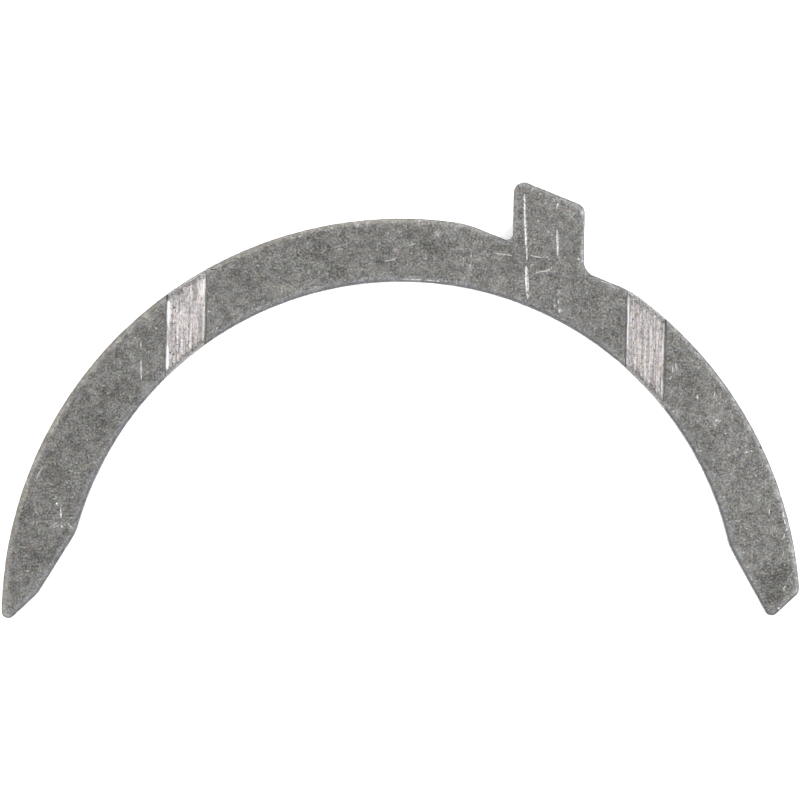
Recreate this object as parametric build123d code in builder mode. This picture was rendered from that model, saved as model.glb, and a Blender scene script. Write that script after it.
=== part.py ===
"""Half-round crankshaft thrust washer with an off-centre locating lug and two oil grooves.

The washer is one stamped piece. It lies on its plain back, with the grooved thrust face up.
Millimetres and degrees. The origin is on the crankshaft's axis, in the plane of the back face.
+Z points out of the thrust face, and +Y from the axis towards the top of the arch, along the
direction in which the lug slides into its slot. Angles on the ring are measured from +X.
"""

import os
from math import cos, radians, sin, sqrt

from build123d import *

# The ring that the washer is a half of
bore_radius = 32.8
ring_width = 6.2
thickness = 2.4
edge_radius = 0.45  # the tumbled rounding of every rim, on both faces

# The locating lug, which stands on a flat on the rim, to the right of the top of the arch
lug_angle = 21.0  # from +Y towards +X, to the middle of the flat
lug_width = 7.0
lug_height = 5.0  # above the ring's outer radius
lug_corner_radius = 1.0
lug_left_root_radius = 0.6
lug_right_root_radius = 1.5
flat_depth = 0.95  # below the ring's outer radius
flat_blend_radius = 10.0  # where the flat runs out into the rim

# The two oil grooves, which run straight across the ring, parallel to +Y
left_groove_distance = 21.6  # from the washer's middle to the middle of the groove
right_groove_distance = 23.3
groove_floor_width = 3.6
groove_wall_run = 0.25  # how far each sloping wall leans out from the floor to the mouth
groove_depth = 0.4

# The two ends. A relief cuts the bore's corner away, and a slanting trim ends the washer.
relief_start_angle = 13.6  # above the X axis, where each relief leaves the bore
relief_blend_radius = 4.0
left_relief_slope = 59.1
left_relief_length = 7.1
left_knee_radius = 2.8
right_relief_slope = 60.1
right_relief_length = 8.25
trim_slope = 44.0
tip_radius = 0.65
heel_radius = 1.0

# Sizes that follow from these
outer_radius = bore_radius + ring_width
flat_distance = outer_radius - flat_depth
floor_height = thickness - groove_depth
past = ring_width / 2  # how far each cutting shape reaches past what it cuts


def on_circle(radius, angle):
    """The point of a circle about the origin at an angle from +X."""
    return Vector(radius * cos(radians(angle)), radius * sin(radians(angle)))


def heading(angle):
    """The unit vector at an angle from +X."""
    return on_circle(1, angle)


def to_rim(start, direction):
    """The point where the line that leaves start in a direction meets the ring's outer circle."""
    along = start.dot(direction)
    reach = sqrt(along**2 - start.dot(start) + outer_radius**2) - along
    return start + direction * reach


def on_lug_line(x, distance):
    """The point at x on the line square to the lug's radius, at a distance from the origin."""
    return Vector(x, (distance - x * sin(radians(lug_angle))) / cos(radians(lug_angle)))


# The lug: both flanks are parallel to +Y, and its tip is parallel to the flat
lug_x = flat_distance * sin(radians(lug_angle))
lug_left_x = lug_x - lug_width / 2
lug_right_x = lug_x + lug_width / 2
lug_left_root = on_lug_line(lug_left_x, flat_distance)
lug_right_root = on_lug_line(lug_right_x, flat_distance)
lug_left_corner = on_lug_line(lug_left_x, outer_radius + lug_height)
lug_right_corner = on_lug_line(lug_right_x, outer_radius + lug_height)

# The flat, and the two points where it runs out into the rim
flat_middle = on_lug_line(lug_x, flat_distance)
flat_heading = heading(-lug_angle)
flat_left_end = to_rim(flat_middle, -flat_heading)
flat_right_end = to_rim(flat_middle, flat_heading)

# The ends: each relief runs down and outwards from the bore, then turns into its trim
trim_heading = heading(trim_slope)
left_relief_start = on_circle(bore_radius, 180 - relief_start_angle)
left_relief_heading = heading(180 + left_relief_slope)
left_knee = left_relief_start + left_relief_heading * left_relief_length
left_tip = to_rim(left_knee, -trim_heading)
right_relief_start = on_circle(bore_radius, relief_start_angle)
right_relief_heading = heading(-right_relief_slope)
right_tip = right_relief_start + right_relief_heading * right_relief_length
right_heel = to_rim(right_tip, trim_heading)

# The outline of the washer, seen from the thrust face
with BuildSketch() as outline:
    Circle(outer_radius)
    Circle(bore_radius, mode=Mode.SUBTRACT)
    # The flat on the rim
    with Locations(Location(flat_middle, -lug_angle)):
        Rectangle(
            (flat_right_end - flat_left_end).length + past,
            flat_depth + past,
            align=(Align.CENTER, Align.MIN),
            mode=Mode.SUBTRACT,
        )
    # The lug, rooted in the middle of the ring
    root_radius = (outer_radius + bore_radius) / 2
    with BuildLine():
        Polyline(
            (lug_left_x, sqrt(root_radius**2 - lug_left_x**2)),
            lug_left_corner,
            lug_right_corner,
            (lug_right_x, sqrt(root_radius**2 - lug_right_x**2)),
            close=True,
        )
    make_face()
    # All that lies below the reliefs and the trims is cut off
    left_cut_end = left_tip - trim_heading * past
    right_cut_end = right_heel + trim_heading * past
    cut_bottom = -(outer_radius + past)
    with BuildLine():
        Polyline(
            left_cut_end,
            left_knee,
            left_relief_start - left_relief_heading * past,
            right_relief_start - right_relief_heading * past,
            right_tip,
            right_cut_end,
            (right_cut_end.X, cut_bottom),
            (left_cut_end.X, cut_bottom),
            close=True,
        )
    make_face(mode=Mode.SUBTRACT)
    # The rounded corners
    for corner, radius in (
        (lug_left_corner, lug_corner_radius),
        (lug_right_corner, lug_corner_radius),
        (lug_left_root, lug_left_root_radius),
        (lug_right_root, lug_right_root_radius),
        (flat_left_end, flat_blend_radius),
        (flat_right_end, flat_blend_radius),
        (left_relief_start, relief_blend_radius),
        (right_relief_start, relief_blend_radius),
        (left_knee, left_knee_radius),
        (left_tip, tip_radius),
        (right_tip, tip_radius),
        (right_heel, heel_radius),
    ):
        fillet(outline.vertices().sort_by_distance(corner)[0], radius)

# The washer before its grooves, with its rims rounded
with BuildPart() as blank:
    add(outline.sketch)
    extrude(amount=thickness)
    fillet(blank.edges().filter_by(Plane.XY), edge_radius)

# A thinner washer, which ends at the floor of the grooves. Its rims are rounded like the first
# one's, so that the floors roll off at their two ends as the face does.
with BuildPart() as floor_plate:
    add(outline.sketch)
    extrude(amount=floor_height)
    fillet(floor_plate.edges().filter_by(Plane.XY), edge_radius)

# What the grooves take away: all between their sloping walls that stands above the thinner washer
wall_lean = groove_wall_run / groove_depth
half_floor = groove_floor_width / 2
half_top = half_floor + wall_lean * (groove_depth + past)
half_bottom = half_floor - wall_lean * edge_radius
with BuildPart() as groove_cut:
    with BuildSketch(Plane.XZ):
        for groove_x in (-left_groove_distance, right_groove_distance):
            with BuildLine():
                Polyline(
                    (groove_x - half_bottom, floor_height - edge_radius),
                    (groove_x - half_top, thickness + past),
                    (groove_x + half_top, thickness + past),
                    (groove_x + half_bottom, floor_height - edge_radius),
                    close=True,
                )
            make_face()
    extrude(amount=-(outer_radius + past))
    add(floor_plate.part, mode=Mode.SUBTRACT)

with BuildPart() as thrust_washer:
    add(blank.part)
    add(groove_cut.part, mode=Mode.SUBTRACT)

thrust_washer.part.label = "thrust_washer"
os.makedirs("parts", exist_ok=True)
export_step(thrust_washer.part, "parts/thrust_washer.step")
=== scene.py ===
"""The look of the half-round thrust washer, stamped and tumbled, with two milled oil grooves.

Metres and radians. The origin is on the crankshaft's axis, in the plane of the washer's back.
The washer lies on its back, and the camera looks straight down on its grooved face.
"""

from math import acos, atan2, cos, pi, radians, sin, sqrt
from random import Random

import bmesh
import bpy
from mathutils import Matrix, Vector, noise
from mathutils.kdtree import KDTree


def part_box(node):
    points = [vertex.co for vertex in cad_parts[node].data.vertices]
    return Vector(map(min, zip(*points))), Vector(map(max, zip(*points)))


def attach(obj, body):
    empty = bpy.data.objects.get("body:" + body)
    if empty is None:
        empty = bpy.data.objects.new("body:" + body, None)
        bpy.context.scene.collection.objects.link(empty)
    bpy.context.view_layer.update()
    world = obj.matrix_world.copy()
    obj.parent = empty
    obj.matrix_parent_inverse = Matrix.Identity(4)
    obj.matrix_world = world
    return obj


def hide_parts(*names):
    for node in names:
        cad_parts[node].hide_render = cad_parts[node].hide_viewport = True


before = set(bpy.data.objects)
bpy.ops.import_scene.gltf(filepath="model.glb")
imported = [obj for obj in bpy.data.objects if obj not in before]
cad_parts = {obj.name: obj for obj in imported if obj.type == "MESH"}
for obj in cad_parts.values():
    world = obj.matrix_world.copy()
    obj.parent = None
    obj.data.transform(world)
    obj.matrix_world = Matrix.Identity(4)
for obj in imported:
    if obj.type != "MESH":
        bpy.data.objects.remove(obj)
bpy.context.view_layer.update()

MM = 0.001
washer_low, washer_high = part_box("thrust_washer")

# The stamped plate
bore_radius = 32.8 * MM
outer_radius = 39.0 * MM
thickness = washer_high.z - washer_low.z

# The locating lug on its flat
lug_angle = radians(21.0)
lug_width = 7.0 * MM
lug_height = 5.0 * MM
lug_corner_radius = 1.0 * MM
lug_left_root_radius = 0.6 * MM
lug_right_root_radius = 1.5 * MM
flat_distance = outer_radius - 0.95 * MM
flat_blend_radius = 10.0 * MM

# The two ends
relief_start_angle = radians(13.6)
relief_blend_radius = 4.0 * MM
left_relief_slope = radians(59.1)
left_relief_length = 7.1 * MM
left_knee_radius = 2.8 * MM
right_relief_slope = radians(60.1)
right_relief_length = 8.25 * MM
trim_slope = radians(44.0)
tip_radius = 0.65 * MM
heel_radius = 1.0 * MM

# The two milled grooves
groove_middles = (-21.6 * MM, 23.3 * MM)
groove_depth = 0.4 * MM
# Half of a groove's section, from its middle outwards: distance from the middle, and share of the depth
groove_section = (
    (0.0, 1.0),
    (1.82 * MM, 1.0),
    (1.96 * MM, 0.24),
    (2.0 * MM, 0.07),
    (2.045 * MM, 0.0),
)
groove_floor_edge = groove_section[1][0]
groove_wall_edge = 1.99 * MM  # outside it, and above the drop, the wall is finished as the face is
wall_foot_drop = groove_depth * 0.04

# How finely the plate is modelled
outline_step = 0.2 * MM
marking_square = 3.1 * MM
marking_lines = range(-13, 15)  # they cover the washer both ways
bisect_reach = 0.002 * MM  # a corner nearer than this to a cut counts as on it

# How upright a normal is: on the plate's two faces, on their level parts, and at most on its side wall
facing = 0.99
level = 0.9999
side_facing = 0.35

# The worn rims' section, from the side wall inwards: distance from the outline, and height below the face
rim_section = (
    (0.0, 0.3 * MM),
    (0.012 * MM, 0.2 * MM),
    (0.035 * MM, 0.12 * MM),
    (0.06 * MM, 0.07 * MM),
    (0.09 * MM, 0.044 * MM),
    (0.19 * MM, 0.026 * MM),
    (0.32 * MM, 0.011 * MM),
    (0.45 * MM, 0.003 * MM),
    (0.55 * MM, 0.0),
    (0.63 * MM, 0.0),
)

# The wear of the rims: broad rubbing, and small dents
inside_gap = 0.002 * MM  # how far the side walls stay inside the CAD's
rim_wander = 0.012 * MM
rim_wander_size = 1.3 * MM
rim_dent = 0.05 * MM
rim_dent_size = 0.45 * MM
rim_dent_rarity = 0.1  # the higher it is, the fewer dents there are
full_wear_drop = 0.06 * MM  # how far below the face the wear comes to its full depth

# The shape of the marks. The depths, lengths and widths are shares of a mark's half width.
scratch_step = 0.32 * MM
scratch_taper = 0.25  # the lower it is, the blunter a scratch's ends are
scratch_depth = 0.45
scratch_widths = (0.72, 1.0)
dent_depth = 0.35
dent_lengths = (0.9, 1.3)
dent_widths = (0.7, 0.95)

# The marks on the grooved face, in millimetres: how wide each is, and the places that it runs through
bright_scratches = (
    (0.26, (11.17, 41.7), (11.24, 40.4), (11.3, 39.2), (11.38, 38.0), (11.45, 37.0), (11.52, 36.1),
     (11.57, 35.05)),
    (0.39, (11.5, 34.72), (11.6, 33.2), (11.66, 32.2), (11.74, 31.3)),
    (0.27, (14.42, 38.35), (14.48, 37.6), (14.53, 36.7), (14.57, 35.6)),
    (0.27, (14.5, 41.3), (14.47, 40.8), (14.38, 40.2)),
    (0.23, (14.5, 35.52), (14.78, 35.46)),
    (0.2, (14.78, 30.65), (14.88, 30.0)),
    (0.16, (14.76, 31.5), (14.7, 30.95)),
    (0.18, (14.84, 32.25), (14.64, 31.8)),
    (0.21, (37.02, 11.4), (37.2, 10.5), (37.36, 9.75)),
    (0.2, (-33.42, 10.3), (-33.4, 9.9), (-33.36, 9.0)),
    (0.25, (-33.42, 8.36), (-33.02, 8.08)),
    (0.25, (-32.72, 8.62), (-32.28, 8.12)),
    (0.23, (33.0, 16.85), (33.6, 16.95)),
    (0.18, (28.46, 22.4), (28.5, 21.93)),
    (0.18, (30.18, 22.75), (30.06, 22.05)),
    (0.16, (37.8, 4.72), (37.6, 4.42)),
    (0.15, (-0.9, 33.05), (0.3, 33.05), (1.5, 33.01)),
    (0.13, (1.6, 33.01), (2.4, 32.97), (3.2, 32.9)),
    (0.4, (-33.82, 10.72), (-33.66, 10.25)),
    (0.2, (-33.98, 11.15), (-33.72, 11.0)),
)
faint_scratches = (
    (0.16, (14.02, 41.4), (14.16, 40.85)),
    (0.16, (12.32, 33.88), (12.85, 34.1), (13.5, 34.14), (13.95, 34.45), (14.2, 34.85)),
    (0.14, (11.75, 35.68), (12.25, 35.58), (13.05, 35.45), (13.6, 35.8)),
    (0.13, (11.85, 34.66), (12.3, 34.8)),
    (0.14, (8.3, 35.75), (9.1, 35.72), (10.2, 35.6)),
    (0.16, (-25.93, 26.5), (-25.92, 25.75)),
    (0.17, (-25.88, 24.95), (-25.85, 24.05), (-25.8, 22.6)),
    (0.14, (-34.2, 8.05), (-33.5, 8.4)),
    (0.13, (-33.0, 12.55), (-32.75, 12.5)),
    (0.13, (-32.8, 13.75), (-32.3, 13.62)),
    (0.16, (-36.9, 3.82), (-36.5, 3.82), (-36.1, 4.0)),
    (0.16, (30.08, 21.9), (30.06, 21.5)),
    (0.18, (26.26, 25.6), (26.42, 24.65)),
    (0.17, (26.0, 25.15), (26.02, 24.45)),
    (0.16, (25.98, 24.2), (25.72, 23.85)),
    (0.17, (32.4, 17.32), (32.68, 16.98)),
    (0.17, (33.66, 17.05), (34.05, 16.98)),
    (0.13, (35.72, 11.5), (35.72, 10.85)),
    (0.13, (32.35, 10.2), (32.95, 10.08)),
    (0.16, (37.3, 9.1), (37.1, 8.35)),
    (0.14, (37.22, 7.35), (37.1, 6.65)),
    (0.17, (38.12, 5.25), (37.88, 4.82)),
    (0.18, (37.5, 4.05), (37.2, 3.5)),
    (0.14, (-0.1, 36.28), (0.35, 36.5), (0.75, 36.62)),
    (0.13, (-2.4, 34.75), (-1.9, 34.85), (-1.4, 35.0), (-1.1, 35.3)),
    (0.16, (18.5, 33.35), (19.2, 33.2), (20.0, 33.0)),
    (0.16, (25.25, 29.75), (26.2, 28.75), (27.3, 27.7)),
    (0.16, (27.5, 27.9), (28.6, 26.5)),
    (0.18, (-11.6, 36.8), (-10.95, 36.95)),
    (0.18, (-10.85, 36.98), (-10.4, 37.12)),
    (0.14, (-34.6, 8.0), (-34.0, 8.45), (-33.6, 8.75)),
    (0.13, (5.2, 35.4), (5.45, 35.1), (5.4, 34.8)),
    (0.15, (6.2, 34.9), (6.0, 34.5), (6.1, 34.1)),
    (0.12, (33.3, 9.95), (33.55, 9.65), (33.85, 9.75), (34.0, 9.5)),
    (0.12, (33.4, 9.35), (33.7, 9.5)),
    (0.12, (31.5, 16.45), (31.85, 16.7)),
    (0.13, (-35.2, 14.1), (-35.6, 13.4), (-35.9, 12.7)),
    (0.13, (-20.4, 33.3), (-19.6, 33.5)),
)
# How far across each dent is, and where it is
bright_dents = (
    (0.26, (16.58, 35.4)), (0.28, (37.46, 9.4)), (0.32, (36.85, 1.74)), (0.26, (30.38, 19.95)),
    (0.24, (-29.6, 14.15)), (0.24, (14.4, 30.8)), (0.2, (38.22, 6.2)),
)
faint_dents = (
    (0.26, (12.55, 39.02)), (0.24, (13.0, 33.05)), (0.2, (12.45, 34.95)), (0.18, (13.88, 39.55)),
    (0.24, (-34.05, 14.3)), (0.2, (34.55, 12.6)), (0.28, (-18.55, 27.9)), (0.24, (-18.95, 27.62)),
    (0.24, (30.7, 21.6)), (0.32, (-5.0, 38.3)), (0.2, (37.3, 6.0)), (0.22, (38.05, 6.75)),
    (0.2, (38.2, 5.65)), (0.26, (33.7, 5.7)), (0.2, (34.05, 4.8)), (0.22, (35.3, 2.8)),
    (0.3, (2.8, 37.5)), (0.22, (3.7, 37.6)), (0.3, (12.7, 41.65)), (0.24, (-19.2, 32.9)),
    (0.26, (33.4, 9.6)), (0.3, (29.8, 19.3)), (0.2, (-9.7, 33.6)), (0.24, (15.05, 30.3)),
    (0.26, (-4.5, 34.0)), (0.2, (34.15, 15.3)), (0.2, (38.25, 5.4)), (0.18, (37.9, 4.5)),
    (0.16, (38.1, 4.15)), (0.2, (-1.3, 35.8)), (0.2, (0.3, 35.6)), (0.2, (4.2, 33.7)),
    (0.22, (1.0, 38.35)), (0.2, (0.2, 38.65)), (0.2, (4.6, 38.1)),
)
# Pits coloured near black: painted shade in their hollows
painted_shade_pits = (
    (0.26, (-22.8, 29.82)), (0.24, (-22.76, 25.28)), (0.18, (-23.08, 25.42)), (0.24, (35.85, 11.15)),
    (0.26, (29.93, 18.9)), (0.28, (30.22, 18.48)), (0.3, (34.76, 17.38)), (0.14, (-8.85, 37.1)),
    (0.16, (-22.4, 26.2)), (0.14, (-22.65, 27.4)), (0.14, (-22.7, 28.3)), (0.16, (22.05, 29.6)),
    (0.16, (22.1, 28.75)), (0.15, (24.2, 26.6)), (0.2, (-10.8, 35.2)), (0.16, (-19.9, 30.1)),
)
# Gouges coloured near black: painted shade in their hollows
painted_shade_gouges = (
    (0.16, (-19.5, 33.66), (-18.95, 33.62), (-18.5, 33.78)),
    (0.1, (-18.3, 33.92), (-17.6, 34.2), (-17.0, 34.5)),
    (0.1, (-16.25, 32.15), (-15.5, 32.35)),
    (0.1, (-18.3, 31.42), (-17.65, 31.4)),
    (0.13, (35.6, 3.36), (35.78, 3.16)),
)
# Soft worn patches, in millimetres: the middle, the reach, and how much lighter or darker the steel is
worn_patches = (
    (-28.6, 21.2, 2.3, -0.13), (-30.3, 18.5, 2.2, -0.13), (-34.5, 13.7, 1.6, -0.09),
    (-33.2, 12.8, 1.4, -0.08), (-36.9, 9.3, 1.6, -0.12), (-36.1, 5.4, 2.4, -0.09),
    (-8.7, 35.7, 2.0, -0.13), (-6.7, 34.4, 1.3, -0.1), (2.3, 36.3, 1.7, -0.14), (0.3, 37.4, 1.3, -0.09),
    (-2.3, 34.8, 1.9, -0.08), (-16.9, 33.6, 1.8, -0.07), (-12.2, 34.1, 1.2, -0.07),
    (18.3, 31.4, 1.6, -0.1), (20.3, 28.8, 1.3, -0.08), (13.8, 33.7, 1.0, -0.08),
    (12.5, 37.6, 0.9, -0.08), (15.7, 37.4, 0.9, -0.07), (27.7, 23.3, 1.5, -0.08),
    (29.5, 18.0, 1.3, -0.08), (30.8, 15.1, 1.1, -0.07), (33.7, 9.3, 2.0, -0.08),
    (36.5, 7.7, 1.5, -0.08), (9.9, 35.0, 1.2, -0.07), (-25.1, 28.8, 1.0, 0.18),
    (-26.7, 26.4, 1.0, 0.12), (-25.3, 21.9, 1.2, 0.13), (-18.8, 28.9, 1.4, 0.11),
    (-16.6, 29.3, 1.3, 0.11), (-11.8, 31.8, 1.3, 0.14), (-8.6, 32.4, 1.4, 0.09),
    (-15.0, 34.5, 0.9, 0.12), (-4.0, 34.7, 0.7, 0.09), (4.2, 38.0, 0.8, 0.14), (8.5, 33.1, 1.1, 0.11),
    (13.7, 40.6, 1.3, 0.11), (15.9, 40.0, 1.2, 0.14), (15.4, 30.1, 0.7, 0.13), (19.3, 29.5, 0.7, 0.11),
    (26.2, 25.1, 0.7, 0.18), (26.4, 20.7, 1.0, 0.13), (30.2, 20.5, 1.7, 0.13), (33.2, 17.1, 0.8, 0.13),
    (34.3, 13.0, 1.4, 0.11), (36.3, 12.5, 1.0, 0.14), (31.9, 14.5, 0.8, 0.09), (-33.5, 10.7, 0.8, 0.13),
    (-33.9, 8.4, 1.0, 0.12), (-32.1, 8.4, 0.7, 0.2), (33.9, 5.3, 1.0, 0.11), (-19.2, 32.9, 0.6, 0.18),
    (-24.3, 25.0, 0.7, 0.14), (11.4, 41.6, 0.6, 0.18), (2.8, 37.55, 0.55, 0.4),
    (-27.0, 27.6, 0.6, 0.23), (-25.7, 28.9, 0.6, 0.23), (-9.4, 37.7, 0.6, 0.2), (4.8, 38.4, 0.6, 0.2),
    (0.3, 33.1, 0.7, 0.16), (2.2, 33.1, 0.7, 0.16), (-33.5, 19.3, 0.6, 0.18), (-34.4, 17.7, 0.6, 0.18),
    (-35.9, 14.5, 0.7, 0.18), (-36.9, 12.3, 0.6, 0.23), (-36.3, 1.0, 0.8, 0.18),
    (-35.6, 1.8, 0.6, 0.14), (27.9, 27.0, 0.5, 0.27), (28.5, 26.3, 0.5, 0.27), (30.0, 25.0, 0.6, 0.27),
    (30.9, 23.6, 0.6, 0.27), (32.3, 21.5, 0.5, 0.18), (33.8, 19.3, 0.6, 0.27), (36.6, 4.6, 2.8, -0.19),
    (35.6, 2.6, 1.8, -0.12), (-26.2, 24.0, 2.2, 0.1), (13.2, 38.6, 2.6, 0.05), (4.9, 37.55, 0.45, 0.28),
    (3.5, 38.35, 0.4, 0.25), (4.3, 38.25, 0.45, 0.28), (1.0, 38.4, 0.4, 0.35), (-2.4, 38.6, 0.35, 0.28),
    (-1.6, 38.6, 0.35, 0.22), (-5.0, 38.25, 0.35, 0.3), (-8.9, 37.65, 0.4, 0.3), (-9.6, 33.6, 0.5, 0.3),
    (-9.0, 34.3, 0.4, 0.2), (-8.1, 33.4, 0.4, 0.2), (-7.1, 32.6, 0.45, 0.2), (-4.9, 33.6, 0.5, 0.18),
    (-1.3, 35.8, 0.35, 0.25), (5.0, 33.6, 0.7, 0.15), (6.0, 34.3, 0.6, 0.15), (2.3, 34.4, 0.5, -0.15),
    (0.2, 37.5, 0.8, -0.08), (-9.3, 35.5, 0.8, -0.1), (-8.7, 37.3, 0.4, -0.15), (-6.5, 33.9, 0.6, -0.1),
    (4.0, 36.6, 0.8, -0.08), (36.85, 10.2, 0.8, -0.12), (33.1, 6.8, 0.6, 0.15), (31.3, 11.2, 0.5, 0.16),
    (31.0, 12.2, 0.6, 0.16), (35.3, 2.6, 0.5, 0.16), (33.7, 9.7, 0.5, 0.15), (34.9, 16.8, 0.45, 0.2),
    (36.8, 12.6, 0.4, 0.2), (34.2, 15.3, 0.4, 0.2), (36.9, 1.75, 0.35, 0.3), (35.6, 15.6, 0.5, 0.27),
    (36.0, 14.8, 0.5, 0.23), (36.4, 13.0, 0.6, 0.23), (37.9, 7.6, 0.5, 0.18),
)

# The small marks at chance places, in millimetres
chance_seed = 11
tumbled_count = 200
tumbled_radii = (33.2, 38.7)
tumbled_reaches = (0.15, 0.2, 0.3, 0.5)
tumbled_widths = (0.07, 0.13)
tumbled_from_outline = 0.35
tumbled_from_groove = 2.5
tumbled_apart = 0.75
# Stretches of the outer rim in degrees, and how many nicks each has
nicked_rims = ((3, 62, 60), (76, 120, 16), (121, 178, 26))
nick_scatter = (0.1, 0.9)  # where a nick may lie within its own share of a stretch
nick_insets = (0.12, 0.42)
nick_reaches = (0.1, 0.16, 0.28)
nick_widths = (0.1, 0.2)
nick_slant = 0.35
nick_from_groove = 2.4

# The picture
frame_width = 78.06 * MM
frame_middle = Vector((-0.543 * MM, 21.27 * MM, washer_high.z))
camera_distance = 0.9
camera_turn = radians(1.2)
sensor_width = 36.0
sky_strength = 0.62
softbox_size = (0.6, 0.35)
softbox_distance = 0.7
softbox_height = radians(50)
# Which way each softbox stands from the washer, in degrees, and its power in watts
softboxes = (
    ("right_softbox", 0, 5.4),
    ("back_softbox", 90, 4.0),
    ("left_softbox", 180, 3.0),
    ("front_softbox", 270, 3.4),
)
table_size = 4.0
table_white = (0.92, 0.92, 0.92, 1)

# The washer's finishes, in the order of its slots. The marks' finishes come after them.
face_slot, floor_slot, side_slot, wall_slot = range(4)


class Side:
    """One side of the outline, walked with the metal on its left: a line, or a circle about the origin.

    A circle's radius is positive where it is walked anticlockwise, and negative clockwise.
    """

    def __init__(self, point=None, heading=0.0, radius=0.0):
        self.point = point
        self.heading = heading
        self.along = Vector((cos(heading), sin(heading)))
        self.radius = radius

    def shifted(self, distance):
        """The same side, moved to its left."""
        if self.point is None:
            return Side(radius=self.radius - distance)
        left = Vector((-self.along.y, self.along.x))
        return Side(self.point + left * distance, self.heading)

    def foot(self, point):
        """The place on this side that is nearest to a point."""
        if self.point is None:
            return point.normalized() * abs(self.radius)
        return self.point + self.along * (point - self.point).dot(self.along)

    def meet(self, other, near):
        """The place nearest to a point where two sides cross, of which one at least is a line."""
        line, circle = (self, other) if other.point is None else (other, self)
        if circle.point is None:
            middle = -line.point.dot(line.along)
            reach = sqrt(middle**2 - line.point.dot(line.point) + circle.radius**2)
            found = [line.point + line.along * (middle + way) for way in (-reach, reach)]
            return min(found, key=lambda place: (place - near).length)
        gap = other.point - self.point
        across = self.along.cross(other.along)
        return self.point + self.along * (gap.cross(other.along) / across)

    def walk(self, start, end):
        """Even steps along this side, with both its ends."""
        if self.point is None:
            first = atan2(start.y, start.x)
            turn = (atan2(end.y, end.x) - first) % (2 * pi)
            if self.radius < 0:
                turn -= 2 * pi
            count = max(1, round(abs(turn * self.radius) / outline_step))
            angles = [first + turn * step / count for step in range(count + 1)]
            return [on_circle(abs(self.radius), angle) for angle in angles]
        count = max(1, round((end - start).length / outline_step))
        return [start.lerp(end, step / count) for step in range(count + 1)]


def on_circle(radius, angle):
    """The point of a circle about the origin at an angle from +X."""
    return Vector((cos(angle), sin(angle))) * radius


def on_lug_line(x, distance):
    """The point at x on the line square to the lug's radius, at a distance from the origin."""
    return Vector((x, (distance - x * sin(lug_angle)) / cos(lug_angle)))


def rounded_corner(before, after, corner, radius):
    """Points along the rounding between two sides. A hollow corner's radius is negative."""
    centre = before.shifted(radius).meet(after.shifted(radius), corner)
    start, end = before.foot(centre) - centre, after.foot(centre) - centre
    turn = -start.angle_signed(end)
    count = max(4, round(abs(turn * radius) / (outline_step / 2)))
    first = atan2(start.y, start.x)
    return [centre + on_circle(start.length, first + turn * step / count) for step in range(count + 1)]


def washer_outline():
    """The washer's outline, anticlockwise, as seen from the grooved face."""
    lug_x = flat_distance * sin(lug_angle)
    lug_left, lug_right = lug_x - lug_width / 2, lug_x + lug_width / 2
    lug_top = outer_radius + lug_height
    left_relief_start = on_circle(bore_radius, pi - relief_start_angle)
    right_relief_start = on_circle(bore_radius, relief_start_angle)
    left_knee = left_relief_start + on_circle(left_relief_length, pi + left_relief_slope)
    right_tip = right_relief_start + on_circle(right_relief_length, -right_relief_slope)

    rim = Side(radius=outer_radius)
    bore = Side(radius=-bore_radius)
    flat = Side(on_lug_line(lug_x, flat_distance), pi - lug_angle)
    right_flank = Side(on_lug_line(lug_right, lug_top), pi / 2)
    lug_tip = Side(on_lug_line(lug_x, lug_top), pi - lug_angle)
    left_flank = Side(on_lug_line(lug_left, lug_top), -pi / 2)
    left_trim = Side(left_knee, trim_slope)
    left_relief = Side(left_knee, left_relief_slope)
    right_relief = Side(right_tip, -right_relief_slope)
    right_trim = Side(right_tip, trim_slope)

    reach = sqrt(outer_radius**2 - flat_distance**2)
    flat_right_end = flat.point - flat.along * reach
    flat_left_end = flat.point + flat.along * reach
    corners = (
        (right_trim, rim, right_trim.meet(rim, right_tip), heel_radius),
        (rim, flat, rim.meet(flat, flat_right_end), flat_blend_radius),
        (flat, right_flank, on_lug_line(lug_right, flat_distance), -lug_right_root_radius),
        (right_flank, lug_tip, on_lug_line(lug_right, lug_top), lug_corner_radius),
        (lug_tip, left_flank, on_lug_line(lug_left, lug_top), lug_corner_radius),
        (left_flank, flat, on_lug_line(lug_left, flat_distance), -lug_left_root_radius),
        (flat, rim, rim.meet(flat, flat_left_end), flat_blend_radius),
        (rim, left_trim, rim.meet(left_trim, left_knee), tip_radius),
        (left_trim, left_relief, left_knee, left_knee_radius),
        (left_relief, bore, left_relief_start, relief_blend_radius),
        (bore, right_relief, right_relief_start, relief_blend_radius),
        (right_relief, right_trim, right_tip, tip_radius),
    )
    roundings = [rounded_corner(*corner) for corner in corners]
    points = []
    for corner, rounding, following in zip(corners, roundings, roundings[1:] + roundings[:1]):
        points += rounding
        points += corner[1].walk(rounding[-1], following[0])[1:-1]
    return points


def select_faces(mesh_object, wanted):
    """In edit mode, select the faces that pass a test, and nothing else."""
    bpy.ops.mesh.select_all(action="DESELECT")
    shape = bmesh.from_edit_mesh(mesh_object.data)
    for face in shape.faces:
        if wanted(face):
            face.select_set(True)
    bmesh.update_edit_mesh(mesh_object.data)


def plate_blank(points):
    """A disc of the washer's thickness between its rims, whose edge is moved to the outline."""
    bpy.ops.object.select_all(action="DESELECT")
    bpy.ops.mesh.primitive_cylinder_add(
        vertices=len(points),
        radius=outer_radius,
        depth=thickness - 2 * rim_section[0][1],
        location=(0, 0, washer_low.z + thickness / 2),
    )
    washer = bpy.context.object
    washer.name = "washer"
    bpy.ops.object.transform_apply(location=True, rotation=True, scale=True)
    first = washer.data.vertices[0].co
    start = atan2(first.y, first.x)
    for vertex in washer.data.vertices:
        turn = (atan2(vertex.co.y, vertex.co.x) - start) % (2 * pi)
        point = points[round(turn * len(points) / (2 * pi)) % len(points)]
        vertex.co.xy = point
    return washer


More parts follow.
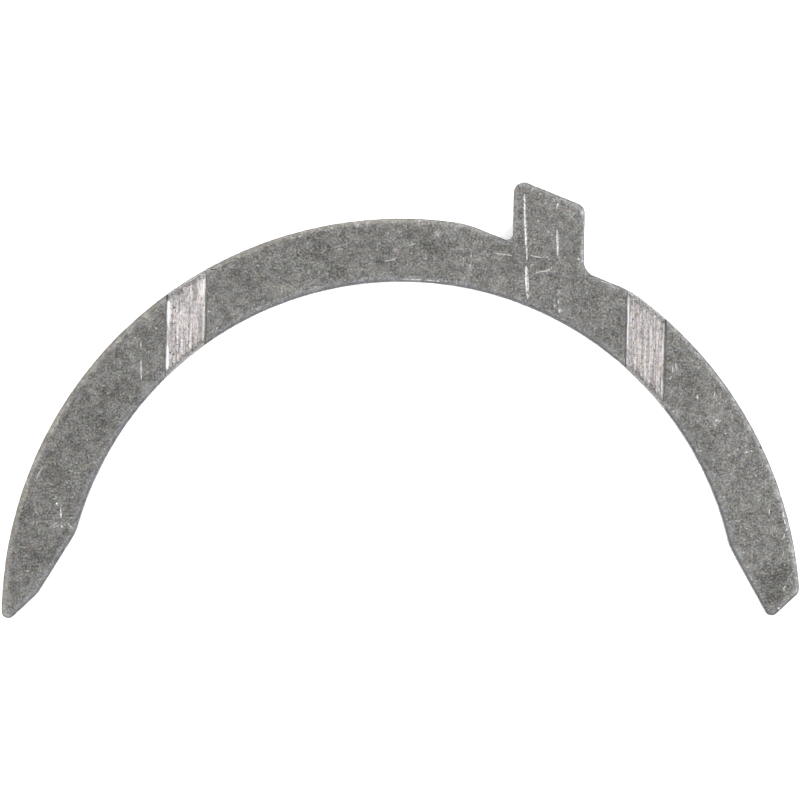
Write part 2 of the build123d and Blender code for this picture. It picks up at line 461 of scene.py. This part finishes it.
def bisect(washer, wanted, point, normal):
    """In edit mode, part the faces that pass a test along a plane."""
    select_faces(washer, wanted)
    bpy.ops.mesh.bisect(plane_co=point, plane_no=normal, threshold=bisect_reach)


def model_washer(points):
    """The plate with its rims rounded by insets and its grooves milled, in faces small enough to mark."""
    washer = plate_blank(points)
    bpy.ops.object.mode_set(mode="EDIT")

    # Each face is inset ring by ring, and rises to its full height along the rims' section
    for up in (1, -1):
        select_faces(washer, lambda face: face.normal.z * up > facing)
        for (outer, lower), (inner, upper) in zip(rim_section, rim_section[1:]):
            bpy.ops.mesh.inset(thickness=inner - outer, depth=lower - upper)

    # The grooves' lines are cut across the face and its rims, and what lies between them is lowered
    mill_height = washer_high.z - rim_section[0][1] - inside_gap
    for middle in groove_middles:
        for distance, _ in groove_section[1:]:
            for way in (-1, 1):
                bisect(
                    washer,
                    lambda face: all(vertex.co.z > mill_height for vertex in face.verts),
                    (middle + way * distance, 0, 0),
                    (1, 0, 0),
                )
    shape = bmesh.from_edit_mesh(washer.data)
    for vertex in shape.verts:
        if vertex.co.z > mill_height:
            vertex.co.z -= groove_drop(from_groove(vertex.co.x))
    bmesh.update_edit_mesh(washer.data)

    # The level metal is parted into small squares, so that no mark is cut from a large face
    for line in marking_lines:
        place = line * marking_square
        for point, normal in (((place, 0, 0), (1, 0, 0)), ((0, place, 0), (0, 1, 0))):
            bisect(washer, lambda face: abs(face.normal.z) > level, point, normal)
    bpy.ops.object.mode_set(mode="OBJECT")
    return washer


class Surface:
    """The grooved face as modelled: how far a place is from the outline, and how high its metal is."""

    def __init__(self, outline):
        self.tree = KDTree(len(outline))
        for index, point in enumerate(outline):
            self.tree.insert((*point, 0), index)
        self.tree.balance()

    def from_outline(self, place):
        """How far a place lies from the nearest point of the outline."""
        return self.tree.find((place.x, place.y, 0))[2]

    def height(self, place):
        """How high the metal is at a place."""
        rounding = read_section(rim_section, self.from_outline(place))
        return washer_high.z - rounding - groove_drop(from_groove(place.x))


def read_section(section, place):
    """The depth at a place on a section, between the two of its points that the place lies between."""
    for (start, first), (end, second) in zip(section, section[1:]):
        if place < end:
            return first + (second - first) * (place - start) / (end - start)
    return section[-1][1]


def from_groove(x):
    """How far a place lies from the middle of the nearer groove."""
    return min(abs(x - middle) for middle in groove_middles)


def groove_drop(away):
    """How deep a groove is at a distance from its middle."""
    return groove_depth * read_section(groove_section, away)


def wear_rims(washer):
    """Let the rims' rounding wander inwards a little, and beat shallow dents into it."""
    middle = washer_low.z + thickness / 2
    normals = [vertex.normal.copy() for vertex in washer.data.vertices]
    for vertex, normal in zip(washer.data.vertices, normals):
        drop = thickness / 2 - abs(vertex.co.z - middle)
        grooved = from_groove(vertex.co.x) < groove_section[-1][0] and vertex.co.z > middle
        if drop > inside_gap / 2 and not grooved:
            worn = min(1.0, drop / full_wear_drop)
            broad = 0.5 + noise.noise(vertex.co / rim_wander_size)
            small = noise.noise(vertex.co / rim_dent_size) - rim_dent_rarity
            depth = rim_wander * max(0.0, broad) + rim_dent * max(0.0, small)
            vertex.co -= normal * (inside_gap + depth * worn)


def add_scratch(surface, chance, width, points):
    """In edit mode, add a slim ragged spindle that runs along the face, sunk into it by half."""
    places = [Vector(point) * MM for point in points]
    spine = [places[0]]
    for start, end in zip(places, places[1:]):
        fewest = 3 if len(places) == 2 else 1
        count = max(fewest, round((end - start).length / scratch_step))
        spine += [start.lerp(end, step / count) for step in range(1, count + 1)]
    rings = len(spine) - 1
    bpy.ops.mesh.select_all(action="DESELECT")
    bpy.ops.mesh.primitive_uv_sphere_add(segments=4, ring_count=rings, radius=1)
    shape = bmesh.from_edit_mesh(bpy.context.object.data)
    for vertex in [vertex for vertex in shape.verts if vertex.select]:
        ring = round(acos(max(-1.0, min(1.0, vertex.co.z))) * rings / pi)
        along = (spine[min(ring + 1, rings)] - spine[max(ring - 1, 0)]).normalized()
        across = Vector((along.y, -along.x))
        taper = sin(pi * ring / rings) ** scratch_taper
        reach = taper * width * MM / 2 * chance.uniform(*scratch_widths)
        size = Vector(vertex.co.xy).length
        side, rise = (vertex.co.x / size, vertex.co.y / size) if 0 < ring < rings else (0.0, 0.0)
        place = spine[ring] + across * side * reach
        vertex.co = (*place, surface.height(spine[ring]) + rise * reach * scratch_depth)
    bmesh.update_edit_mesh(bpy.context.object.data)


def add_dent(surface, chance, width, place):
    """In edit mode, add a flattened ball, sunk into the face by half."""
    middle = Vector(place) * MM
    bpy.ops.mesh.primitive_uv_sphere_add(
        segments=8,
        ring_count=4,
        radius=width * MM / 2,
        location=(*middle, surface.height(middle)),
        rotation=(0, 0, chance.uniform(0, pi)),
        scale=(chance.uniform(*dent_lengths), chance.uniform(*dent_widths), dent_depth),
    )


def cut_marks(washer, surface, name, scratches, dents, finish):
    """Cut marks into the washer. Their own faces take a finish of their own."""
    chance = Random(name)
    mesh = bpy.data.meshes.new(name)
    cutter = bpy.data.objects.new(name, mesh)
    bpy.context.scene.collection.objects.link(cutter)
    bpy.ops.object.select_all(action="DESELECT")
    cutter.select_set(True)
    bpy.context.view_layer.objects.active = cutter
    bpy.ops.object.mode_set(mode="EDIT")
    for width, *points in scratches:
        add_scratch(surface, chance, width, points)
    for width, place in dents:
        add_dent(surface, chance, width, place)
    bpy.ops.mesh.select_all(action="SELECT")
    bpy.ops.mesh.normals_make_consistent(inside=False)
    bpy.ops.object.mode_set(mode="OBJECT")
    cutter.data.materials.append(finish)
    cut = washer.modifiers.new(name, "BOOLEAN")
    cut.operation = "DIFFERENCE"
    cut.solver = "MANIFOLD"
    cut.material_mode = "TRANSFER"
    cut.object = cutter
    bpy.ops.object.select_all(action="DESELECT")
    washer.select_set(True)
    bpy.context.view_layer.objects.active = washer
    bpy.ops.object.modifier_apply(modifier=cut.name)
    bpy.data.objects.remove(cutter)
    bpy.data.meshes.remove(mesh)


def tumbled_marks(surface, taken):
    """Many small marks at seeded places all over the face, clear of each other and of the places taken."""
    chance = Random(chance_seed)
    taken = [Vector(place) for place in taken]
    found = []
    while len(found) < tumbled_count:
        angle, radius = chance.uniform(0, pi), chance.uniform(*tumbled_radii)
        middle = on_circle(radius, angle)
        reach = chance.choice(tumbled_reaches)
        turn = chance.uniform(0, pi)
        step = on_circle(reach, turn)
        ends = (middle - step, middle + step)
        if any(surface.from_outline(end * MM) < tumbled_from_outline * MM for end in ends):
            continue
        if any(end.length > tumbled_radii[1] for end in ends):
            continue
        if any(from_groove(end.x * MM) < tumbled_from_groove * MM for end in ends):
            continue
        if any((middle - place).length < reach + tumbled_apart for place in taken):
            continue
        taken.append(middle)
        found.append((chance.uniform(*tumbled_widths), *ends))
    return found


def rim_nicks():
    """Small nicks at seeded places along the outer rim."""
    chance = Random(chance_seed)
    found = []
    for first, last, count in nicked_rims:
        for number in range(count):
            share = (number + chance.uniform(*nick_scatter)) / count
            angle = radians(first + (last - first) * share)
            middle = on_circle(outer_radius / MM - chance.uniform(*nick_insets), angle)
            reach = chance.choice(nick_reaches)
            turn = angle + pi / 2 + chance.uniform(-nick_slant, nick_slant)
            if from_groove(middle.x * MM) < nick_from_groove * MM:
                continue
            step = on_circle(reach, turn)
            found.append((chance.uniform(*nick_widths), middle - step, middle + step))
    return found


def note_rim_distance(washer, surface):
    """Keep each vertex's distance from the outline, in millimetres, for the finishes to read."""
    distances = washer.data.attributes.new("from_outline", "FLOAT", "POINT")
    for vertex, kept in zip(washer.data.vertices, distances.data):
        kept.value = surface.from_outline(vertex.co) / MM


def camera_and_sky():
    """A long lens that looks straight down, under an even white sky."""
    scene = bpy.context.scene
    scene.view_settings.view_transform = "Standard"

    lens = bpy.data.cameras.new("camera")
    lens.sensor_width = sensor_width
    lens.lens = sensor_width * camera_distance / frame_width
    lens.clip_start, lens.clip_end = 0.01, 10.0
    camera = bpy.data.objects.new("camera", lens)
    camera.location = frame_middle + Vector((0, 0, camera_distance))
    camera.rotation_euler = (0, 0, camera_turn)
    scene.collection.objects.link(camera)
    scene.camera = camera

    sky = bpy.data.worlds.new("studio")
    sky.use_nodes = True
    sky.node_tree.nodes["Background"].inputs["Color"].default_value = (1, 1, 1, 1)
    sky.node_tree.nodes["Background"].inputs["Strength"].default_value = sky_strength
    scene.world = sky


def soft_lights():
    """A softbox on each side of the table, turned towards the washer."""
    for name, angle, power in softboxes:
        light = bpy.data.lights.new(name, "AREA")
        light.shape = "RECTANGLE"
        light.size, light.size_y = softbox_size
        light.energy = power
        turn = radians(angle)
        across = cos(softbox_height)
        ray = Vector((cos(turn) * across, sin(turn) * across, sin(softbox_height)))
        lamp = bpy.data.objects.new(name, light)
        lamp.location = frame_middle + ray * softbox_distance
        lamp.rotation_euler = ray.to_track_quat("Z", "Y").to_euler()
        bpy.context.scene.collection.objects.link(lamp)


def pale_table():
    """The plain pale table that the washer lies on."""
    bpy.ops.object.select_all(action="DESELECT")
    bpy.ops.mesh.primitive_plane_add(size=table_size, location=(0, 0, washer_low.z))
    floor = bpy.context.object
    floor.name = "table"
    paper = bpy.data.materials.new("pale_table")
    paper.use_nodes = True
    paper.node_tree.nodes["Principled BSDF"].inputs["Base Color"].default_value = table_white
    paper.node_tree.nodes["Principled BSDF"].inputs["Roughness"].default_value = 0.9
    floor.data.materials.append(paper)


class Recipe:
    """A finish mixed from shader nodes, on the washer's own coordinates."""

    def __init__(self, name):
        self.material = bpy.data.materials.new(name)
        self.material.use_nodes = True
        self.tree = self.material.node_tree
        self.shader = self.tree.nodes["Principled BSDF"]
        self.place = self.add("ShaderNodeTexCoord", {}).outputs["Object"]

    def add(self, kind, settings, *values):
        """Add a node. Each value is a plain one or another node's output, in the order of the sockets."""
        made = self.tree.nodes.new(kind)
        for name, value in settings.items():
            setattr(made, name, value)
        for socket, value in zip(made.inputs, values):
            if isinstance(value, bpy.types.NodeSocket):
                self.tree.links.new(value, socket)
            elif value is not None:
                socket.default_value = value
        return made

    def stretched(self, x, y, z=1.0):
        """Coordinates on which a pattern is drawn out along an axis whose factor is under one."""
        return self.add("ShaderNodeMapping", {}, self.place, None, None, (x, y, z)).outputs[0]

    def noise(self, size, detail=2.0, roughness=0.5, distortion=0.0, place=None):
        """Cloudy noise whose broadest clouds are of a size."""
        made = self.add("ShaderNodeTexNoise", {"noise_dimensions": "3D"})
        self.tree.links.new(place or self.place, made.inputs["Vector"])
        made.inputs["Scale"].default_value = 1 / size
        made.inputs["Detail"].default_value = detail
        made.inputs["Roughness"].default_value = roughness
        made.inputs["Distortion"].default_value = distortion
        return made.outputs["Fac"]

    def cells(self, size):
        """Round cells of a size: the distance from each one's middle, and a chance value for each."""
        made = self.add("ShaderNodeTexVoronoi", {"feature": "F1"})
        self.tree.links.new(self.place, made.inputs["Vector"])
        made.inputs["Scale"].default_value = 1 / size
        chance = self.add("ShaderNodeSeparateColor", {}, made.outputs["Color"]).outputs[0]
        return made.outputs["Distance"], chance

    def outline_distance(self):
        """Millimetres from the outline, as kept on the washer."""
        kept = {"attribute_name": "from_outline", "attribute_type": "GEOMETRY"}
        return self.add("ShaderNodeAttribute", kept).outputs["Fac"]

    def patches(self, place):
        """The worn patches at their places, all together."""
        total = 0.0
        for x, y, reach, amount in worn_patches:
            middle = (x * MM, y * MM, washer_high.z)
            away = self.add("ShaderNodeVectorMath", {"operation": "DISTANCE"}, place, middle)
            total = self.sum(total, self.between(away.outputs["Value"], 0.0, reach * MM, amount, 0.0))
        return total

    def axes(self):
        """The three coordinates, each by itself."""
        return self.add("ShaderNodeSeparateXYZ", {}, self.place).outputs

    def radius(self):
        """The distance from the crankshaft's axis."""
        level_place = self.add("ShaderNodeVectorMath", {"operation": "MULTIPLY"}, self.place, (1, 1, 0))
        length = self.add("ShaderNodeVectorMath", {"operation": "LENGTH"}, level_place.outputs[0])
        return length.outputs["Value"]

    def groove_offset(self):
        """How far to the right of its groove's middle a place lies."""
        across = self.axes()[0]
        middle = self.between(across, -1 * MM, 1 * MM, *groove_middles, smooth=False)
        return self.sum(across, self.product(middle, -1.0))

    def ring_distance(self):
        """Millimetres from the nearer of the ring's two arcs."""
        radius = self.radius()
        from_rim = self.difference(outer_radius, radius)
        from_bore = self.difference(radius, bore_radius)
        nearer = self.add("ShaderNodeMath", {"operation": "MINIMUM"}, from_rim, from_bore).outputs[0]
        return self.product(nearer, 1 / MM)

    def sum(self, first, second):
        """Two values added."""
        return self.add("ShaderNodeMath", {"operation": "ADD"}, first, second).outputs[0]

    def difference(self, first, second):
        """The second value taken from the first."""
        return self.add("ShaderNodeMath", {"operation": "SUBTRACT"}, first, second).outputs[0]

    def product(self, first, second):
        """Two values multiplied."""
        return self.add("ShaderNodeMath", {"operation": "MULTIPLY"}, first, second).outputs[0]

    def between(self, value, low, high, result_low=0.0, result_high=1.0, smooth=True):
        """Carry a value from one range into another, and clamp it there."""
        kind = {"interpolation_type": "SMOOTHSTEP" if smooth else "LINEAR"}
        return self.add("ShaderNodeMapRange", kind, value, low, high, result_low, result_high).outputs[0]

    def across_groove(self, left, right):
        """One value at the left groove and another at the right one."""
        return self.between(self.axes()[0], -5 * MM, 5 * MM, left, right)

    def wobbled(self, reach, size):
        """Coordinates that wander by up to about a reach, over steps of a size."""
        made = self.add("ShaderNodeTexNoise", {})
        self.tree.links.new(self.place, made.inputs["Vector"])
        made.inputs["Scale"].default_value = 1 / size
        grey = (0.5, 0.5, 0.5)
        away = self.add("ShaderNodeVectorMath", {"operation": "SUBTRACT"}, made.outputs["Color"], grey)
        drift = self.add("ShaderNodeVectorMath", {"operation": "SCALE"}, away.outputs[0])
        drift.inputs["Scale"].default_value = 4 * reach
        moved = self.add("ShaderNodeVectorMath", {"operation": "ADD"}, self.place, drift.outputs[0])
        return moved.outputs[0]

    def ridge(self, value, width):
        """Thin winding lines, where a noise passes its middle value."""
        away = self.add("ShaderNodeMath", {"operation": "ABSOLUTE"}, self.difference(value, 0.5))
        return self.between(away.outputs[0], 0.0, width, 1.0, 0.0)

    def weighted(self, *pairs):
        """The sum of values, each times its weight."""
        total = None
        for value, weight in pairs:
            part = self.product(value, weight)
            total = part if total is None else self.sum(total, part)
        return total

    def blend(self, factor, first, second, way="MIX"):
        """Two colours mixed by a factor from 0 to 1."""
        made = self.add("ShaderNodeMix", {"data_type": "RGBA", "blend_type": way})
        for index, value in ((0, factor), (6, first), (7, second)):
            if isinstance(value, bpy.types.NodeSocket):
                self.tree.links.new(value, made.inputs[index])
            else:
                made.inputs[index].default_value = value if index == 0 else (*value, 1)
        return made.outputs[2]

    def multiplied(self, colour, tint):
        """A colour with a tint laid over it."""
        return self.blend(1.0, colour, tint, "MULTIPLY")

    def tinted(self, colour, size, first, second):
        """A colour that drifts between two faint tints."""
        drift = self.between(self.noise(size, 2.0, 0.6), 0.35, 0.65)
        return self.multiplied(colour, self.blend(drift, first, second))

    def finish(self, colour, roughness, height, relief):
        """Join the colour, the roughness and the bumps to the metal. The relief is the bumps' height."""
        self.tree.links.new(colour, self.shader.inputs["Base Color"])
        self.tree.links.new(roughness, self.shader.inputs["Roughness"])
        self.shader.inputs["Metallic"].default_value = 1.0
        bump = self.add("ShaderNodeBump", {})
        bump.inputs["Strength"].default_value = 1.0
        bump.inputs["Distance"].default_value = relief
        self.tree.links.new(height, bump.inputs["Height"])
        self.tree.links.new(bump.outputs[0], self.shader.inputs["Normal"])
        return self.material


def tumbled_steel():
    """Dull grey steel, beaten all over by tumbling and worn lighter at the rims, with painted light and
    shade on the rims and painted glints in its specks.
    """
    steel = Recipe("tumbled_steel")
    across = steel.axes()[0]

    # Clouds, blots and grain
    broad = steel.between(steel.noise(3.4 * MM, 3.0, 0.55), 0.35, 0.65)
    blots = steel.between(steel.noise(0.75 * MM, 3.0, 0.55), 0.32, 0.68)
    grain = steel.between(steel.noise(0.2 * MM, 2.0, 0.6, 0.3), 0.4, 0.8, smooth=False)
    fine = steel.between(steel.noise(0.13 * MM, 1.0, 0.5), 0.36, 0.8, smooth=False)
    clumps = steel.between(steel.noise(2.1 * MM, 2.0, 0.6), 0.36, 0.62, 0.82, 1.12)
    # Dark folds, light scuffs and light specks, here and there; the specks are partly painted glints of
    # facets that catch the light
    folds = steel.ridge(steel.noise(0.9 * MM, 2.0, 0.5, 1.2), 0.025)
    folds = steel.product(folds, steel.between(steel.noise(1.3 * MM), 0.5, 0.6))
    scuffs = steel.ridge(steel.noise(0.7 * MM, 2.0, 0.5, 0.8), 0.02)
    scuffs = steel.product(scuffs, steel.between(steel.noise(0.9 * MM), 0.5, 0.62))
    distance, chance = steel.cells(0.34 * MM)
    specks_and_glints = steel.product(steel.between(distance, 0.15, 0.4, 1.0, 0.0), steel.between(chance, 0.7, 1.0))
    # Painted light: the steel is painted a little lighter towards the right, where the light is stronger
    drift = steel.between(across, -30 * MM, 30 * MM, smooth=False)
    tone = steel.weighted(
        (broad, 0.05),
        (blots, 0.1),
        (steel.product(grain, clumps), 0.53),
        (fine, 0.14),
        (folds, -0.18),
        (scuffs, 0.2),
        (steel.product(specks_and_glints, clumps), 0.4),
        (drift, 0.04),
        (steel.patches(steel.wobbled(0.25 * MM, 0.7 * MM)), 1.0),
    )

    # The rims are rubbed lighter in a ragged band, partly real wear and partly painted light: the band is
    # painted wider on the left of the outer rim, lighter towards its right, and dotted there with painted
    # glints where its rounding catches the light
    radius = steel.radius()
    outer = steel.between(radius, 38.1 * MM, 38.5 * MM)
    right = steel.between(across, -5 * MM, 20 * MM)
    outer_narrowing = steel.between(across, -20 * MM, 20 * MM, 0.8, 1.2, smooth=False)
    narrowing = steel.between(radius, 34 * MM, 37 * MM, 0.72, outer_narrowing)
    wander = steel.between(steel.noise(0.5 * MM, 3.0, 0.7), 0.32, 0.68, -0.08, 0.2, smooth=False)
    reach = steel.sum(steel.product(steel.outline_distance(), narrowing), wander)
    rim = steel.between(reach, 0.3, 0.6, 1.0, 0.0)
    # Painted light: the rubbing and the glints are painted stronger towards the right of the outer rim
    rubbed_and_lit = steel.sum(0.04, steel.product(right, 0.03))
    glint_spots = steel.between(steel.noise(0.55 * MM, 3.0, 0.65), 0.5, 0.64)
    painted_glints = steel.product(glint_spots, steel.sum(0.16, steel.product(right, 0.24)))
    worn = steel.sum(0.16, steel.product(outer, steel.sum(rubbed_and_lit, painted_glints)))
    tone = steel.sum(tone, steel.product(rim, worn))

    dark_grey, light_grey = (0.058, 0.0567, 0.0528), (0.391, 0.3842, 0.3711)
    pinkish, greenish = (1.03, 0.995, 1.0), (0.975, 1.005, 0.995)
    yellowish, bluish = (1.0, 1.0, 0.96), (1.0, 1.0, 1.05)
    cool_light_tint, warm_light_tint = (0.97, 1.0, 1.05), (1.02, 1.0, 0.97)
    colour = steel.blend(steel.product(tone, 0.667), dark_grey, light_grey)
    colour = steel.tinted(colour, 0.8 * MM, pinkish, greenish)
    colour = steel.tinted(colour, 0.6 * MM, yellowish, bluish)
    # Painted light: the lighter rims take the tint of the lights, warm on the left of the outer rim and
    # cool on its right and on the bore
    painted_light_tint = steel.blend(outer, cool_light_tint, steel.blend(right, warm_light_tint, cool_light_tint))
    colour = steel.blend(rim, colour, steel.multiplied(colour, painted_light_tint))

    # The rounding at the brink turns away from the lights, and its last edge is darkest
    bore_shade, left_shade, right_shade = (0.51, 0.5, 0.515), (0.76, 0.75, 0.725), (0.58, 0.585, 0.595)
    edge_shade = (0.4, 0.39, 0.385)
    brink = steel.between(steel.outline_distance(), 0.12, 0.42, 1.0, 0.0)
    brink_shade = steel.blend(outer, bore_shade, steel.blend(right, left_shade, right_shade))
    colour = steel.blend(brink, colour, steel.multiplied(colour, brink_shade))
    edge = steel.between(steel.outline_distance(), 0.045, 0.1, 1.0, 0.0)
    colour = steel.blend(edge, colour, steel.multiplied(colour, edge_shade))

    beaten = steel.weighted((grain, 0.5), (blots, 0.5))
    roughness = steel.between(beaten, 0.0, 1.0, 0.36, 0.52, smooth=False)
    height = steel.weighted(
        (broad, 1.0),
        (blots, 0.6),
        (grain, 0.45),
        (fine, 0.1),
        (folds, -0.5),
        (specks_and_glints, -0.15),
    )
    return steel.finish(colour, roughness, height, relief=0.018 * MM)


def milled_floor():
    """The grooves' bare metal: the cutter's broken lines across the ring, painted highlights along the
    edges, dulled ends.
    """
    steel = Recipe("milled_floor")

    # The cutter's lines run along the groove, and most of them are broken
    lines = steel.noise(0.2 * MM, 2.0, 0.6, place=steel.stretched(1.0, 0.04))
    lines = steel.between(lines, 0.35, 0.65)
    broken = steel.noise(0.17 * MM, 2.0, 0.6, place=steel.stretched(1.0, 0.45))
    broken = steel.between(broken, 0.35, 0.65)
    grain = steel.between(steel.noise(0.15 * MM, 2.0, 0.6), 0.3, 0.7)
    smears = steel.noise(1.1 * MM, 3.0, 0.6, place=steel.stretched(1.0, 0.6))
    smears = steel.between(smears, 0.35, 0.65)
    tone = steel.weighted((lines, 0.2), (broken, 0.34), (grain, 0.38), (smears, 0.1))

    # A painted highlight along each edge of the floor, where the feet of the walls catch the lights,
    # stronger in the left groove
    offset = steel.groove_offset()
    patchy = steel.noise(0.7 * MM, 3.0, 0.6, place=steel.stretched(1.0, 0.25))
    patchy = steel.between(patchy, 0.4, 0.55)
    left_painted_highlight = steel.product(steel.between(offset, -1.56 * MM, -1.66 * MM), steel.sum(0.25, patchy))
    left_painted_highlight = steel.product(left_painted_highlight, steel.across_groove(0.8, 0.3))
    right_painted_highlight = steel.product(steel.between(offset, 1.58 * MM, 1.66 * MM), steel.sum(0.3, patchy))
    right_painted_highlight = steel.product(right_painted_highlight, steel.across_groove(0.42, 0.16))

    dark_steel, bright_steel = (0.115, 0.1075, 0.105), (0.585, 0.554, 0.541)
    yellowish, bluish = (1.04, 0.995, 0.94), (0.97, 1.0, 1.08)
    # The painted highlight's colour
    burnished = (0.85, 0.835, 0.82)
    bright = steel.blend(steel.product(tone, steel.across_groove(1.0, 0.82)), dark_steel, bright_steel)
    bright = steel.tinted(bright, 0.3 * MM, yellowish, bluish)
    bright = steel.blend(steel.sum(left_painted_highlight, right_painted_highlight), bright, burnished)

    # Near the ring's two arcs the floor is as dull as the face
    dull = steel.blend(grain, (0.08, 0.0785, 0.0765), (0.27, 0.263, 0.257))
    wander = steel.between(steel.noise(0.5 * MM, 4.0, 0.7), 0.32, 0.68, -0.3, 0.3, smooth=False)
    inside = steel.between(steel.sum(steel.ring_distance(), wander), 0.38, 0.72)
    colour = steel.blend(inside, dull, bright)
    roughness = steel.between(lines, 0.0, 1.0, 0.32, 0.44, smooth=False)
    height = steel.weighted((lines, 0.4), (broken, 0.4), (grain, 0.3))
    return steel.finish(colour, roughness, height, relief=0.01 * MM)


def groove_wall():
    """The grooves' walls, in painted shade by the way each faces the lights: dark and bluish on the left,
    a softer grey on the right.
    """
    steel = Recipe("groove_wall")
    grain = steel.between(steel.noise(0.3 * MM, 2.0, 0.6), 0.32, 0.68)
    left = steel.blend(grain, (0.06, 0.059, 0.072), (0.2, 0.196, 0.225))
    right = steel.blend(grain, (0.11, 0.111, 0.104), (0.27, 0.272, 0.256))
    # Painted shade: the wall on the left of each groove faces right and is painted darker and bluish
    colour = steel.blend(steel.between(steel.groove_offset(), -1 * MM, 1 * MM), left, right)
    roughness = steel.between(grain, 0.0, 1.0, 0.42, 0.56, smooth=False)
    return steel.finish(colour, roughness, grain, relief=0.008 * MM)


def stamped_side():
    """The side wall: burnished where the punch went in, torn and duller below, with upright streaks."""
    steel = Recipe("stamped_side")
    streaks = steel.noise(0.22 * MM, 3.0, 0.6, place=steel.stretched(1.0, 1.0, 0.12))
    streaks = steel.between(streaks, 0.32, 0.68)
    torn = steel.between(steel.noise(0.2 * MM, 3.0, 0.65), 0.32, 0.68)
    wander = steel.noise(1.1 * MM, 2.0)
    wander = steel.between(wander, 0.3, 0.7, -0.15 * MM, 0.15 * MM, smooth=False)
    burnished = steel.between(steel.sum(steel.axes()[2], wander), 1.25 * MM, 1.45 * MM)
    torn_steel = steel.blend(torn, (0.09, 0.088, 0.083), (0.24, 0.233, 0.225))
    burnished_steel = steel.blend(streaks, (0.12, 0.117, 0.112), (0.26, 0.254, 0.245))
    colour = steel.blend(burnished, torn_steel, burnished_steel)
    roughness = steel.between(burnished, 0.0, 1.0, 0.55, 0.42, smooth=False)
    height = steel.weighted((torn, 0.6), (streaks, 0.5))
    return steel.finish(colour, roughness, height, relief=0.02 * MM)


def mark_steel(name, dark, light, rough, size=0.22 * MM):
    """The grainy metal that a mark lays bare, between two colours and two roughnesses."""
    steel = Recipe(name)
    grain = steel.between(steel.noise(size, 2.0, 0.6), 0.32, 0.68)
    colour = steel.blend(grain, dark, light)
    roughness = steel.between(grain, 0.0, 1.0, *rough, smooth=False)
    return steel.finish(colour, roughness, grain, relief=0.006 * MM)


def finish_plate(washer):
    """Give each face of the plate its finish, by where it lies and how it is turned."""
    for finish in (tumbled_steel(), milled_floor(), stamped_side(), groove_wall()):
        washer.data.materials.append(finish)
    for face in washer.data.polygons:
        away = from_groove(face.center.x)
        drop = washer_high.z - face.center.z
        if abs(face.normal.z) < side_facing:
            face.material_index = side_slot
        elif away < groove_floor_edge and face.normal.z > 0:
            face.material_index = floor_slot
        elif away < groove_wall_edge and face.normal.z > 0 and drop > wall_foot_drop:
            face.material_index = wall_slot
        else:
            face.material_index = face_slot


def mark_face(washer, surface):
    """Cut the marks that have their own places, and then the small ones at chance places."""
    fresh = mark_steel("fresh_steel", (0.09, 0.088, 0.088), (0.34, 0.33, 0.332), (0.34, 0.52))
    pressed = mark_steel("pressed_steel", (0.26, 0.255, 0.253), (0.46, 0.45, 0.447), (0.4, 0.52))
    scuffed = mark_steel("scuffed_steel", (0.14, 0.137, 0.134), (0.27, 0.264, 0.26), (0.42, 0.56))
    beaten = mark_steel("beaten_steel", (0.09, 0.088, 0.086), (0.21, 0.205, 0.202), (0.46, 0.6))
    # Painted shade: the pits and gouges are coloured near black for the shade in their hollows
    dark = mark_steel("dark_steel", (0.03, 0.03, 0.028), (0.1, 0.098, 0.09), (0.5, 0.7), 0.16 * MM)

    scratches = bright_scratches + faint_scratches + painted_shade_gouges
    taken = [point for _, *points in scratches for point in points]
    taken += [place for _, place in bright_dents + faint_dents + painted_shade_pits]
    cut_marks(washer, surface, "bright_marks", bright_scratches, (), fresh)
    cut_marks(washer, surface, "pressed_marks", (), bright_dents, pressed)
    cut_marks(washer, surface, "dark_marks", painted_shade_gouges, painted_shade_pits, dark)
    cut_marks(washer, surface, "faint_marks", faint_scratches, faint_dents, scuffed)
    cut_marks(washer, surface, "tumbled_marks", tumbled_marks(surface, taken), (), beaten)
    cut_marks(washer, surface, "rim_nicks", rim_nicks(), (), beaten)


def smooth_rims(washer):
    """Shade the rims and walls smooth, and the level metal and the marks flat."""
    bpy.ops.object.select_all(action="DESELECT")
    washer.select_set(True)
    bpy.context.view_layer.objects.active = washer
    bpy.ops.object.shade_smooth_by_angle(angle=radians(35))
    bpy.ops.object.mode_set(mode="EDIT")
    select_faces(washer, lambda face: abs(face.normal.z) > level or face.material_index > wall_slot)
    bpy.ops.mesh.faces_shade_flat()
    bpy.ops.object.mode_set(mode="OBJECT")


camera_and_sky()
soft_lights()
pale_table()

outline = washer_outline()
surface = Surface(outline)
washer = model_washer(outline)
wear_rims(washer)
finish_plate(washer)
mark_face(washer, surface)
note_rim_distance(washer, surface)
smooth_rims(washer)
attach(washer, "root")
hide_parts("thrust_washer")
